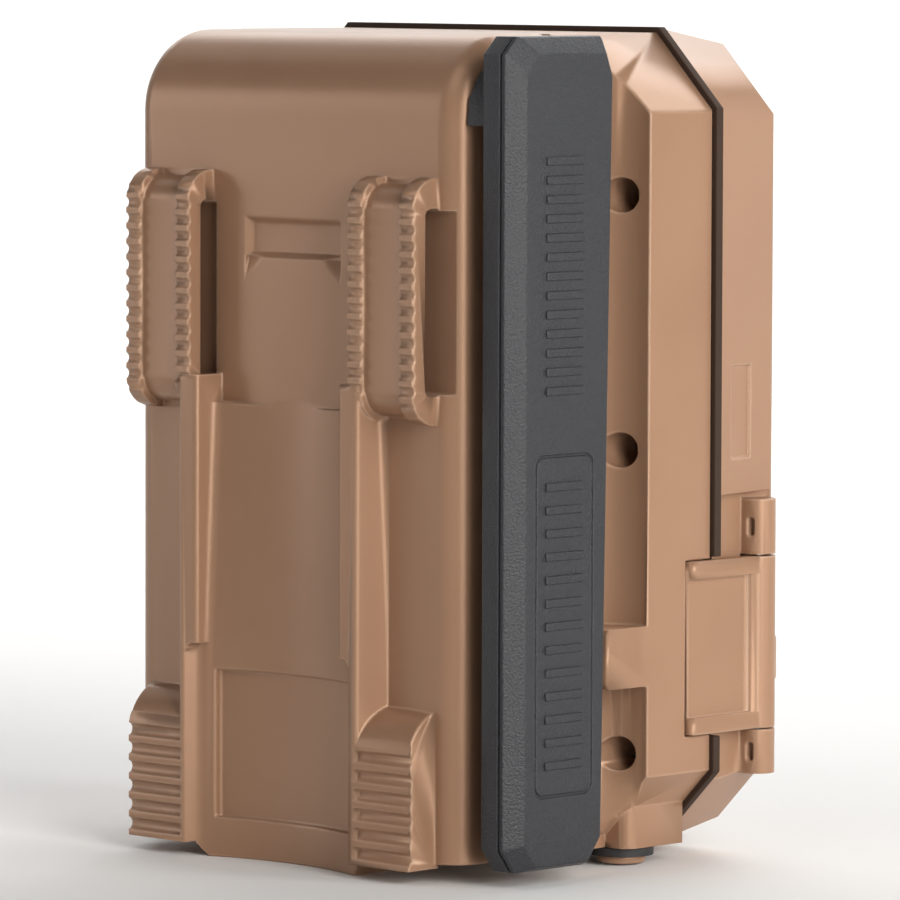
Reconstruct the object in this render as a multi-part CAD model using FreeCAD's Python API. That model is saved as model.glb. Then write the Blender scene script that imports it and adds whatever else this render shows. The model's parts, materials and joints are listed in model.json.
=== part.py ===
# Trail camera: a strap-on field camera with a hinged front door and a folding antenna.
# Frame: X across (the antenna and latch are on -X, the door hinge on +X), the lens
# looks along -Y, Z is up and the tree side is +Y. The origin is under the middle.
import FreeCAD
import Part
import math
import os

V = FreeCAD.Vector

# ---- driving dimensions, millimetres -------------------------------------------------
seamY = -18.0             # plane where the rear housing meets the gasket
rimHalf = 50.5            # half width of the rear housing's rim
rimLow, rimTop = 3.3, 142.5
rimCorner = 13.1          # 45 degree corner cut of the octagonal outline
rimDepth = 15.8           # rim from the seam back to the ridge of the side channel
channelR = 10.9           # concave fillet from the rim down to the box
boxHalf = 39.6            # half width of the rear box
boxDepth = 50.8           # seam to the flat back
boxCornerR = 5.0
boxTopR = 14.0
wall = 2.4
cleatDepth = 57.0         # seam to the outermost plane of cleats, rails and feet
gasketThick, gasketProud = 1.75, 0.95
doorGap = 0.12            # door to gasket
doorHalf = 51.0
doorDepth = 19.0          # seam to the flat front of the door
doorTaper = 2.8           # how far the door's sides lean in from seam to front
bezelProud = 2.0
sideReach = 52.5          # outermost reach of the hinge and latch barrels
hingeX = 50.6
hingePinR = 0.9
latchX = -49.4
latchY = seamY - 13.4
latchLow, latchHigh = 22.8, 52.5
antennaOut = -51.2        # outer face of the folded antenna
antennaThick = 6.75
antennaPivotZ = 133.2
antennaPivotY = seamY + 38.6
runFit = 0.05             # radial clearance of pins in their holes

ridgeY = seamY + rimDepth
backY = seamY + boxDepth
cleatY = seamY + cleatDepth
frontY = seamY - doorDepth
doorSeamY = seamY - gasketThick - doorGap
hingeY = doorSeamY + 0.3
hingeR = sideReach - hingeX
latchR = sideReach + latchX


# ---- small helpers --------------------------------------------------------------------
def box(x0, x1, y0, y1, z0, z1):
    return Part.makeBox(x1 - x0, y1 - y0, z1 - z0, V(x0, y0, z0))


def rod(axis, x, y, z, radius, length):
    """A cylinder that starts at x, y, z and runs along one axis."""
    return Part.makeCylinder(radius, length, V(x, y, z), axis)


alongX, alongY, alongZ = V(1, 0, 0), V(0, 1, 0), V(0, 0, 1)


def prismZ(points, z0, z1):
    corners = [V(x, y, z0) for x, y in points]
    return Part.Face(Part.makePolygon(corners + corners[:1])).extrude(V(0, 0, z1 - z0))


def prismY(points, y0, y1):
    corners = [V(x, y0, z) for x, z in points]
    return Part.Face(Part.makePolygon(corners + corners[:1])).extrude(V(0, y1 - y0, 0))


def prismX(points, x0, x1):
    corners = [V(x0, y, z) for y, z in points]
    return Part.Face(Part.makePolygon(corners + corners[:1])).extrude(V(x1 - x0, 0, 0))


def octagon(inset=0.0, half=rimHalf, low=rimLow, top=rimTop, corner=rimCorner):
    w, z0, z1 = half - inset, low + inset, top - inset
    c = corner - inset * (2 - math.sqrt(2))
    return [(c - w, z0), (w - c, z0), (w, z0 + c), (w, z1 - c),
            (w - c, z1), (c - w, z1), (-w, z1 - c), (-w, z0 + c)]


def join(first, *others):
    return first.multiFuse(list(others)).removeSplitter() if others else first


def group(shapes):
    return Part.makeCompound(shapes)


def mirrorX(shape):
    return shape.mirror(V(0, 0, 0), V(1, 0, 0))


def both(shape):
    return [shape, mirrorX(shape)]


def roundOff(shape, radius, chosen):
    """Fillets the edges that the test picks."""
    edges = [e for e in shape.Edges if chosen(e)]
    return shape.makeFillet(radius, edges) if edges else shape


def runsAlong(edge, axis):
    if len(edge.Vertexes) != 2 or not isinstance(edge.Curve, Part.Line):
        return False
    step = edge.Vertexes[1].Point - edge.Vertexes[0].Point
    return abs(abs(step.normalize().dot(axis)) - 1) < 1e-6


def roundedBar(x0, x1, y0, y1, z0, z1, radius, axis=alongY):
    """A box whose four edges along one axis are rounded."""
    return roundOff(box(x0, x1, y0, y1, z0, z1), radius, lambda e: runsAlong(e, axis))


parts = {}


# ---- rear housing -----------------------------------------------------------------------
def rearBox(inset, depthInset):
    """The deep box behind the rim, rounded at its back corners."""
    half, y1 = boxHalf - inset, backY - depthInset
    z0, z1 = rimLow + inset, rimTop - inset
    r = boxTopR - inset
    y0 = seamY + (0 if inset else 2)
    low, high = V(-half, y1, z0), V(-half, y1, z1 - r)
    bend = V(-half, y1 - r * (1 - math.sqrt(0.5)), z1 - r * (1 - math.sqrt(0.5)))
    crown = V(-half, y1 - r, z1)
    wire = Part.Wire([
        Part.makeLine(V(-half, y0, z0), low), Part.makeLine(low, high),
        Part.Arc(high, bend, crown).toShape(),
        Part.makeLine(crown, V(-half, y0, z1)), Part.makeLine(V(-half, y0, z1), V(-half, y0, z0))])
    body = Part.Face(wire).extrude(V(2 * half, 0, 0))

    def cornerEdge(e):
        mid = e.CenterOfMass
        onSide = abs(abs(mid.x) - half) < 1e-3 and abs(e.Vertexes[0].Point.x - e.Vertexes[-1].Point.x) < 1e-3
        return onSide and mid.y > y0 + 0.5 and mid.z > z0 + 0.5
    return roundOff(body, boxCornerR - inset * 0.8, cornerEdge)


def sideChannel():
    """The hollow behind the rim on the +X side, where the folded antenna lies on -X."""
    x1, y0 = rimHalf, ridgeY
    x0 = boxHalf
    bendX = x1 - channelR * math.sin(math.radians(50))
    bendY = y0 + channelR * (1 - math.cos(math.radians(50)))
    start, mid, end = V(x1, y0, -1), V(bendX, bendY, -1), V(x0, y0 + channelR, -1)
    far = 60
    wire = Part.Wire([
        Part.Arc(start, mid, end).toShape(), Part.makeLine(end, V(x0, far, -1)),
        Part.makeLine(V(x0, far, -1), V(far, far, -1)), Part.makeLine(V(far, far, -1), V(far, y0, -1)),
        Part.makeLine(V(far, y0, -1), start)])
    return Part.Face(wire).extrude(V(0, 0, 160))


cleatIn, cleatOut, cleatLow, cleatHigh = 19.4, 34.8, 77.2, 118.7
slotLow, slotHigh, slotDepth = 82.1, 113.6, 3.1
scoopDepth = 1.3          # how far the back wall is hollowed behind a strap loop
toothCount, toothPitch = 14, 2.7
toothR, toothRaise = 0.95, 0.3     # radius of a valley, and how far its centre is outside
ridgeWide, saddleDeep = 3.2, 1.2
cleatBend, saddleBend = 5.6, 4.6


def cleat():
    """A strap loop on +X: a C-shaped bar with two toothed ridges and a smooth saddle between."""
    y0, y1 = backY - 1, cleatY
    saddleY = y1 - saddleDeep
    saddleIn, saddleOut = cleatIn + ridgeWide, cleatOut - ridgeWide

    def backEdge(e):
        return runsAlong(e, alongX) and e.CenterOfMass.y > backY + 2

    bar = roundOff(box(cleatIn, cleatOut, y0, y1, cleatLow, cleatHigh), cleatBend, backEdge)
    skin = box(0, 60, y0 - 9, saddleY, cleatLow + saddleDeep, cleatHigh - saddleDeep)
    skin = roundOff(skin, saddleBend, backEdge)
    saddle = box(saddleIn, saddleOut, backY + 0.01, y1 + 1, cleatLow - 1, cleatHigh + 1).cut(skin)
    bar = bar.cut(saddle)
    first = (cleatLow + cleatHigh) / 2 - toothPitch * (toothCount - 1) / 2
    valleys = [rod(alongX, cleatIn - 1, y1 + toothRaise, first + i * toothPitch, toothR, 20)
               for i in range(toothCount)]
    bar = bar.cut(group(valleys))
    opening = box(cleatIn - 1, cleatOut + 1, backY - 0.5, backY + slotDepth, slotLow, slotHigh)
    return bar.cut(roundOff(opening, 1.4, lambda e: runsAlong(e, alongX) and e.CenterOfMass.y > backY))


railIn, railLowIn, railOut, railRoot = 17.2, 20.0, 21.6, 23.2
railTop, railStep = 83.6, 37.3
troughR, panelTop = 52.0, 78.7
pocketHalf, pocketLow, pocketHigh = 16.4, 7.0, 32.6
pocketDeep, pocketR = 0.9, 75.0
recessHalf, recessLow, recessHigh, recessDeep, recessSlope = 11.6, 103.9, 110.9, 1.3, 1.1
wedgeSize = 4.9


def rail():
    """The raised lip on +X that runs from the cleat down into the foot."""
    y0 = backY - 1
    body = prismZ([(railIn, y0), (railIn, cleatY), (railOut, cleatY), (railRoot, backY), (railRoot, y0)],
                  rimLow - 0.8, railTop)
    body = roundOff(body, 0.9, lambda e: e.CenterOfMass.y > cleatY - 0.01)
    step = roundOff(box(railIn - 3, railLowIn, y0 - 2, cleatY + 2, -5, railStep), 1.8,
                    lambda e: runsAlong(e, alongY) and e.CenterOfMass.z > 30 and e.CenterOfMass.x > 18)
    return body.cut(step)


footIn, footOut, footLow, footTop = 20.0, 34.2, 2.5, 22.0
grooveCount, groovePitch = 6, 3.3
grooveR, grooveRaise = 1.15, 0.3


def foot():
    """A ribbed foot on +X that stands off the tree, with a ramp on top."""
    y0 = backY - 1
    rampTop = footTop + 7.2
    wire = Part.Wire([
        Part.makeLine(V(footIn, y0, footLow), V(footIn, cleatY, footLow)),
        Part.makeLine(V(footIn, cleatY, footLow), V(footIn, cleatY, footTop)),
        Part.Arc(V(footIn, cleatY, footTop), V(footIn, cleatY - 1.7, footTop + 3.9),
                 V(footIn, backY - 0.4, rampTop)).toShape(),
        Part.makeLine(V(footIn, backY - 0.4, rampTop), V(footIn, y0, rampTop)),
        Part.makeLine(V(footIn, y0, rampTop), V(footIn, y0, footLow))])
    body = Part.Face(wire).extrude(V(footOut - footIn, 0, 0))
    valleys = [rod(alongX, footIn - 1, cleatY + grooveRaise, footTop - 0.9 - i * groovePitch, grooveR, 20)
               for i in range(grooveCount)]
    return body.cut(group(valleys))


bumpHalf, bumpSlope, bumpFront = 17.7, 3.0, seamY + 14.0
screwX, screwHeights = 45.2, (20.2, 72.0, 115.3)
screwHoleR, screwSeatY = 2.95, seamY + 8.0
insertX, insertY, insertR, insertLong = 0.0, seamY + 27.0, 5.0, 9.0
tabLow, tabHigh = 32.0, 42.2
jackX, jackY = -38.6, seamY + 9.3
jackBlockOut, jackBlockBack = -44.7, seamY + 14.4
knuckleLow, knuckleHigh = 127.4, 138.4


def frameAt(half, z0, z1, y):
    corners = [V(-half, y, z0), V(half, y, z0), V(half, y, z1), V(-half, y, z1)]
    return Part.makePolygon(corners + corners[:1])


def recess():
    """The framed recess between the cleats, with sloping walls."""
    half, low, high, slope = recessHalf, recessLow, recessHigh, recessSlope
    floor = frameAt(half - slope, low + slope, high - slope, backY - recessDeep)
    return Part.makeLoft([frameAt(half, low, high, backY + 0.01), floor], True, True)


def wedge():
    """A three-sided hollow under one corner of the recess on +X."""
    corner = V(recessHalf, backY + 0.01, recessLow + 0.3)
    inward, down, deep = corner - V(wedgeSize, 0, 0), corner - V(0, 0, wedgeSize), corner - V(0, 1.1, 0)
    sides = [(corner, inward, down), (corner, down, deep), (corner, deep, inward), (inward, deep, down)]
    faces = [Part.Face(Part.makePolygon([a, b, c, a])) for a, b, c in sides]
    solid = Part.Solid(Part.Shell(faces))
    return solid if solid.Volume > 0 else solid.reversed()


def housing():
    outside = prismY(octagon(), seamY, ridgeY + channelR)
    outside = outside.cut(group(both(sideChannel())))
    outside = join(outside, rearBox(0, 0))
    # raised panel with a concave face that fits a trunk, and the rails beside it
    panel = box(-railLowIn, railLowIn, backY - 1, cleatY, rimLow, panelTop)
    bump = prismY([(-bumpHalf, 0), (bumpHalf, 0), (bumpHalf + bumpSlope, rimLow), (bumpHalf + bumpSlope, 8),
                   (-bumpHalf - bumpSlope, 8), (-bumpHalf - bumpSlope, rimLow)], bumpFront, cleatY)
    trough = rod(alongZ, 0, backY - 0.2 + troughR, -1, troughR, panelTop + 2)
    base = join(outside, bump, panel).cut(trough)
    side = join(rail(), foot(), cleat())
    body = join(base, side, mirrorX(side))
    # pocket low on the panel, and the framed recess between the cleats
    pocket = rod(alongZ, 0, backY - pocketDeep + pocketR, pocketLow, pocketR, pocketHigh - pocketLow)
    pocket = pocket.common(box(-pocketHalf, pocketHalf, backY - 5, backY + 6, pocketLow, pocketHigh))
    body = body.cut(pocket).cut(recess())
    body = body.cut(group(both(wedge())))
    # the back wall is scooped out behind each strap loop
    scoop = box(cleatIn - 0.7, boxHalf + 1, backY - scoopDepth, backY + 0.6, slotLow + 0.4, slotHigh - 0.4)
    body = body.cut(group(both(scoop)))
    # jack block on the low corner and the tab that keeps the folded antenna in
    block = roundOff(box(jackBlockOut, -30, seamY + 0.4, jackBlockBack, rimLow, 12), 2.2,
                     lambda e: runsAlong(e, alongZ) and e.CenterOfMass.x < -40 and e.CenterOfMass.y > seamY + 5)
    tabRoot = ridgeY - 1
    tab = box(-rimHalf, -boxHalf, tabRoot, tabBack, tabLow, tabHigh)
    tab = roundOff(tab, 1.3, lambda e: e.CenterOfMass.y > tabBack - 0.01 and not runsAlong(e, alongZ))
    body = join(body, block, tab)
    # hollow inside
    room = prismY(octagon(wall), seamY - 1, ridgeY - wall)
    body = body.cut(join(room, rearBox(wall, wall)))
    inner = []
    for z in screwHeights:
        inner += both(rod(alongY, screwX, seamY + 4.0, z, 4.6, ridgeY - seamY - 4.5))
    inner.append(rod(alongZ, insertX, insertY, 2, insertR + 2.2, insertLong + 1.5))
    inner.append(box(jackX - 6.5, jackX + 6.0, jackY - 5.0, jackY + 5.4, rimLow + 0.5, 10))
    skin = prismY(octagon(0.5), seamY, backY)
    body = join(body, *[shape.common(skin) for shape in inner])
    for z in screwHeights:
        holes = both(rod(alongY, screwX, screwSeatY, z, screwHoleR, 40))
        holes += both(rod(alongY, screwX, seamY, z, 1.65, 20))
        body = body.cut(group(holes))
    body = body.cut(rod(alongZ, insertX, insertY, -1, insertR, insertLong + 1.0))
    body = body.cut(rod(alongZ, jackX, jackY, -1, 4.2, 20))
    # room for the latch, the hinge barrels and the antenna's knuckle
    latchBed = box(-60, -49.0, seamY - 1, seamY + 6.2, latchLow - 0.25, latchHigh + 0.25)
    body = body.cut(latchBed)
    for z0, z1 in doorKnuckles:
        body = body.cut(rod(alongZ, hingeX, hingeY, z0 - 0.3, hingeR + 0.3, z1 - z0 + 0.6))
    for z0, z1 in housingKnuckles:
        barrel = join(rod(alongZ, hingeX, hingeY, z0, hingeR, z1 - z0),
                      prismZ([(hingeX - hingeR, hingeY), (sideReach, hingeY), (rimHalf, seamY + 3.6),
                              (hingeX - hingeR, seamY + 3.6)], z0, z1))
        body = join(body, barrel)
    for z0, z1 in hingePins:
        body = body.cut(rod(alongZ, hingeX, hingeY, z0 - 1, hingePinR + runFit, z1 - z0 + 2))
    body = body.cut(rod(alongX, -boxHalf - 1, antennaPivotY, antennaPivotZ, 3.0, 6))
    return body


# ---- hinge of the door on the +X side ----------------------------------------------------
hingePins = [(30.0, 58.0), (88.0, 116.0)]
knuckleLong, knuckleGap = 12.0, 0.3
housingKnuckles = [((z0 + z1 - knuckleLong) / 2, (z0 + z1 + knuckleLong) / 2) for z0, z1 in hingePins]
doorKnuckles = []
for (z0, z1), (k0, k1) in zip(hingePins, housingKnuckles):
    doorKnuckles += [(z0, k0 - knuckleGap), (k1 + knuckleGap, z1)]


def gasket():
    """The dark seal between housing and door, with a lip that stands proud of the sides."""
    y0, y1 = seamY - gasketThick, seamY - 0.02
    ring = prismY(octagon(-gasketProud), y0, y1).cut(prismY(octagon(wall + 2.2), y0 - 1, y1 + 1))
    ring = ring.cut(box(-60, -48.6, y0 - 1, y1 + 1, latchLow - 0.6, latchHigh + 0.6))
    notch = [box(48.0, 60, y0 - 1, y1 + 1, z0 - 0.5, z1 + 0.5) for z0, z1 in hingePins]
    return ring.cut(group(notch + [box(rimHalf - 0.4, 60, y0 - 1, y1 + 1, 0, 150)]))


# ---- folding antenna ---------------------------------------------------------------------
antennaRear = seamY + 50.2
antennaFrontTop, antennaFrontLow = seamY + 25.3, seamY + 27.5
antennaLow, antennaTop = 2.8, 142.4
antennaIn = antennaOut + antennaThick
bevelSide = 1.85                           # depth of the sloping border of the outer face
bevelRear, bevelFront, bevelTop, bevelLow = 3.6, 0.5, 3.0, 0.8
shellSplit = antennaOut + 2.7
tabBack = antennaFrontLow - 0.95            # the tab ends just short of the folded antenna
pivotR = 2.0
eyeR = 5.4
panelFront, panelRear = seamY + 30.2, seamY + 44.4     # raised outline on the outer face
panelLow, panelHigh, panelLine = 15.1, 72.7, 0.5


def bladeWire(x, rear=0.0, front=0.0, top=0.0, low=0.0):
    """The antenna's outline at one X, moved in from its four sides."""
    yRear, yTop, yLow = antennaRear - rear, antennaFrontTop + front, antennaFrontLow + front
    z0, z1 = antennaLow + low, antennaTop - top
    pts = [(yLow + 3, z0), (yRear - 3, z0), (yRear, z0 + 4), (yRear, z1 - 3),
           (yRear - 3, z1), (yTop + 1.5, z1), (yTop, z1 - 4), (yLow, z0 + 4)]
    corners = [V(x, y, z) for y, z in pts]
    return Part.makePolygon(corners + corners[:1])


def evenWire(x, inset):
    return bladeWire(x, inset, inset, inset, inset)


def antennaBlock():
    face = bladeWire(antennaOut, bevelRear, bevelFront, bevelTop, bevelLow)
    bevel = Part.makeLoft([face, bladeWire(antennaOut + bevelSide)], True, True)
    slab = Part.Face(bladeWire(antennaOut + bevelSide)).extrude(V(antennaThick - bevelSide, 0, 0))
    return join(bevel, slab)


def panelOutline():
    """A fine groove round a plain panel on the outer face."""
    def bar(depth, inset, corner):
        return roundedBar(antennaOut - 1, antennaOut + depth, panelFront + inset, panelRear - inset,
                          panelLow + inset, panelHigh - inset, corner, alongX)
    return bar(0.35, 0, 2.0).cut(bar(1, panelLine, 1.6))


def antenna():
    block = antennaBlock()
    hollow = Part.Face(bladeWire(antennaOut + 1.6, 5.0, 2.4, 5.0, 5.0)).extrude(V(antennaThick - 3.0, 0, 0))
    # a fine groove where the two halves meet
    groove = Part.Face(evenWire(shellSplit - 0.25, -2)).extrude(V(0.5, 0, 0))
    groove = groove.cut(Part.Face(evenWire(shellSplit - 0.4, 0.45)).extrude(V(0.8, 0, 0)))
    block = block.cut(hollow).cut(groove).cut(panelOutline())
    half = box(shellSplit, antennaOut + 20, -60, 60, -5, 160)
    eye = rod(alongX, antennaOut + 1.7, antennaPivotY, antennaPivotZ, eyeR, antennaThick - 1.7)
    bore = rod(alongX, antennaOut + 1.6, antennaPivotY, antennaPivotZ, pivotR + runFit, 20)
    parts['antenna_outer_shell'] = block.cut(half)
    parts['antenna_inner_shell'] = join(block.common(half), eye.common(half)).cut(bore)
    parts['antenna_element'] = box(antennaOut + 2.1, antennaOut + 2.9, seamY + 35.5, seamY + 43.0, 12, 120)


def antennaKnuckle():
    """The bracket on the housing's side and the pin that the antenna turns on."""
    face = antennaIn + 0.3
    y0, y1 = antennaPivotY - 5.5, antennaPivotY + 10.4
    bracket = prismX([(y0, knuckleLow), (y1, knuckleLow), (y1 - 0.4, knuckleHigh - 6.4),
                      (y1 - 2.4, knuckleHigh - 2.8), (y1 - 5.4, knuckleHigh), (y0, knuckleHigh)],
                     face, -boxHalf)
    bracket = roundOff(bracket, 2.0, lambda e: runsAlong(e, alongX) and e.CenterOfMass.y < y0 + 0.1)
    stub = rod(alongX, -boxHalf - 0.2, antennaPivotY, antennaPivotZ, 2.9, 3.4)
    hole = rod(alongX, face - 1, antennaPivotY, antennaPivotZ, pivotR, 7)
    pinStart = antennaOut + 4.2
    parts['antenna_knuckle'] = join(bracket, stub).cut(hole)
    parts['antenna_pivot_pin'] = rod(alongX, pinStart, antennaPivotY, antennaPivotZ, pivotR,
                                     face + 5.0 - pinStart)


# ---- power jack and its plug at the low corner ---------------------------------------------
def powerJack():
    barrel = rod(alongZ, jackX, jackY, 4.6, 4.15, 8.9)
    parts['power_jack'] = barrel.cut(rod(alongZ, jackX, jackY, 4.0, 3.0, 8.6))
    flange = rod(alongZ, jackX, jackY, 1.7, 5.6, rimLow - 1.85)
    stem = rod(alongZ, jackX, jackY, 1.7, 2.85, 8.0)
    strap = roundedBar(jackX, jackX + 9.5, jackY - 2.2, jackY + 2.2, 1.9, rimLow - 0.2, 1.0, alongZ)
    parts['port_plug'] = join(flange, stem, strap)
    cap = roundOff(rod(alongZ, jackX, jackY, 0.3, 4.2, 1.4), 0.6, lambda e: e.CenterOfMass.z < 0.5)
    parts['port_cap'] = cap


# ---- inside the rear housing ---------------------------------------------------------------
cellR, cellLong, cellPitch = 7.1, 48.8, 15.0
trayHalf, trayFront, trayBack = 32.0, seamY + 6.0, seamY + 40.4
trayLow, trayTop = 13.4, 121.4
rowLow = (16.3, 69.5)
layerY = (seamY + 14.9, seamY + 31.5)


def battery():
    web = box(-trayHalf, trayHalf, (layerY[0] + layerY[1]) / 2 - 0.6, (layerY[0] + layerY[1]) / 2 + 0.6,
              trayLow, trayTop)
    walls = [box(-trayHalf, trayHalf, trayFront, trayBack, z, z + 1.6) for z in (trayLow, 66.6, trayTop - 1.6)]
    sides = both(box(trayHalf - 1.4, trayHalf, trayFront, trayBack, trayLow, trayTop))
    grip = roundedBar(-12, 12, trayFront - 2.4, trayFront + 0.6, 66.6, 68.2, 0.6, alongZ)
    tray = join(web, *(walls + sides + [grip]))
    parts['battery_tray'] = tray
    cells, springs, buttons = [], [], []
    for y in layerY:
        for i in range(4):
            x = (i - 1.5) * cellPitch
            for row, z in enumerate(rowLow):
                up = (i + row) % 2 == 0
                can = rod(alongZ, x, y, z, cellR, cellLong)
                can = roundOff(can, 0.6, lambda e: isinstance(e.Curve, Part.Circle))
                nub = rod(alongZ, x, y, z + cellLong - 0.1 if up else z - 0.9, 2.6, 1.0)
                cells.append(join(can, nub))
                springEnd = z - 1.1 if up else z + cellLong
                plusEnd = z + cellLong + 0.9 if up else z - 1.1
                springs.append(leafSpring(x, y, springEnd, up))
                buttons.append(box(x - 4, x + 4, y - 4, y + 4, plusEnd, plusEnd + 0.2))
    parts['aa_cells'] = group(cells)
    parts['negative_contacts'] = group(springs)
    parts['positive_contacts'] = group(buttons)


def leafSpring(x, y, z, up):
    """A bowed strip that presses on the flat end of one cell."""
    base, crest = (z + 0.02, z + 0.98) if up else (z + 1.08, z + 0.12)
    t = 0.12 if up else -0.12
    arc = [V(x - 4, y - 3, base), V(x, y - 3, crest - t), V(x + 4, y - 3, base)]
    lower = Part.Arc(*arc).toShape()
    upper = Part.Arc(*[p + V(0, 0, t) for p in arc]).toShape()
    ends = [Part.makeLine(lower.Vertexes[0].Point, upper.Vertexes[0].Point),
            Part.makeLine(lower.Vertexes[-1].Point, upper.Vertexes[-1].Point)]
    face = Part.Face(Part.Wire(Part.__sortEdges__([lower, upper] + ends)))
    return face.extrude(V(0, 6, 0))


def innerFrame():
    """The chassis plate inside the rim that carries the tray and takes the housing screws."""
    y0, y1 = seamY + 0.4, seamY + 3.6
    plate = prismY(octagon(wall + 0.3), y0, y1)
    plate = plate.cut(box(-34.4, 34.4, y0 - 1, y1 + 1, 10.6, 124.0))
    plate = plate.cut(box(-60, -48.0 + 0.6, y0 - 1, y1 + 5, latchLow - 1, latchHigh + 1))
    runners = both(box(32.4, 34.6, y1 - 0.1, seamY + 42, 14.0, 18.0))
    runners += both(box(32.4, 34.6, y1 - 0.1, seamY + 42, 112.0, 116.0))
    shelf = box(-33.9, 33.9, y0, seamY + 42, 10.05, 12.2)
    shelf = shelf.cut(rod(alongZ, insertX, insertY, 5, insertR + 2.6, 20))
    plate = join(plate, shelf, *runners)
    tops = both(box(34.4, 36.0, y0, y1, 14.0, 18.0))
    plate = join(plate, *tops)
    for z in screwHeights:
        plate = plate.cut(group(both(rod(alongY, screwX, y0 - 1, z, 1.55, 10))))
    parts['inner_frame'] = plate.cut(group([box(47.0, 60, y0 - 1, y1 + 1, z0, z1) for z0, z1 in hingePins]))


def screw(x, y, z, headR, headLong, shankR, shankLong):
    """A cap screw driven along -Y, with a cross slot in its head."""
    head = rod(alongY, x, y, z, headR, headLong)
    shank = rod(alongY, x, y - shankLong, z, shankR, shankLong + 0.1)
    slot = headR * 1.1
    cross = join(box(x - slot / 2, x + slot / 2, y + headLong * 0.5, y + headLong + 1, z - 0.35, z + 0.35),
                 box(x - 0.35, x + 0.35, y + headLong * 0.5, y + headLong + 1, z - slot / 2, z + slot / 2))
    return join(head, shank).cut(cross)


def housingScrews():
    screws = []
    for z in screwHeights:
        screws += [screw(s * screwX, screwSeatY + 0.02, z, 2.7, 2.0, 1.5, 7.4) for s in (-1, 1)]
    parts['housing_screws'] = group(screws)


def tripodInsert():
    z1 = insertLong
    insert = rod(alongZ, insertX, insertY, 0.4, insertR, z1 - 0.4)
    for z in (2.6, 5.6):
        insert = insert.cut(rod(alongZ, insertX, insertY, z, insertR + 1, 0.9).cut(
            rod(alongZ, insertX, insertY, z - 1, insertR - 0.5, 3)))
    parts['tripod_insert'] = insert.cut(rod(alongZ, insertX, insertY, -1, 3.175, z1 - 0.2))


def modem():
    x0 = -36.6
    board = box(x0, x0 + 1.0, seamY + 10, seamY + 38, 56, 110)
    can = box(x0 + 1.0, x0 + 3.4, seamY + 13, seamY + 35, 78, 106)
    socket = box(x0 + 1.0, x0 + 2.6, seamY + 16, seamY + 30, 60, 74)
    parts['modem_board'] = board
    parts['modem_shield'] = roundOff(can, 0.5, lambda e: runsAlong(e, alongX))
    parts['sim_socket'] = socket


# ---- door ----------------------------------------------------------------------------------
doorOutline = dict(half=doorHalf, low=rimLow - 0.5, top=rimTop + 0.5, corner=rimCorner + 0.2)
pivotPocketLow, pivotPocketHigh = 14.6, 63.6
lensZ, lensR = 84.0, 10.4
irLow, irHigh, irHalf = 101.0, 127.0, 28.0
pirLow, pirHigh, pirHalf = 30.0, 56.0, 15.0
smallZ, smallX = 84.0, 21.0
smallR = 2.4


def doorBlock(inset, frontInset, seamExtra=0.0):
    def ring(y, extra):
        corners = [V(x, y, z) for x, z in octagon(extra, **doorOutline)]
        return Part.makePolygon(corners + corners[:1])
    slope = doorTaper / (doorSeamY - frontY)
    front = frontY + frontInset
    return Part.makeLoft([ring(doorSeamY + seamExtra, inset - slope * seamExtra),
                          ring(front, inset + doorTaper - slope * frontInset)], True, True)


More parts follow.
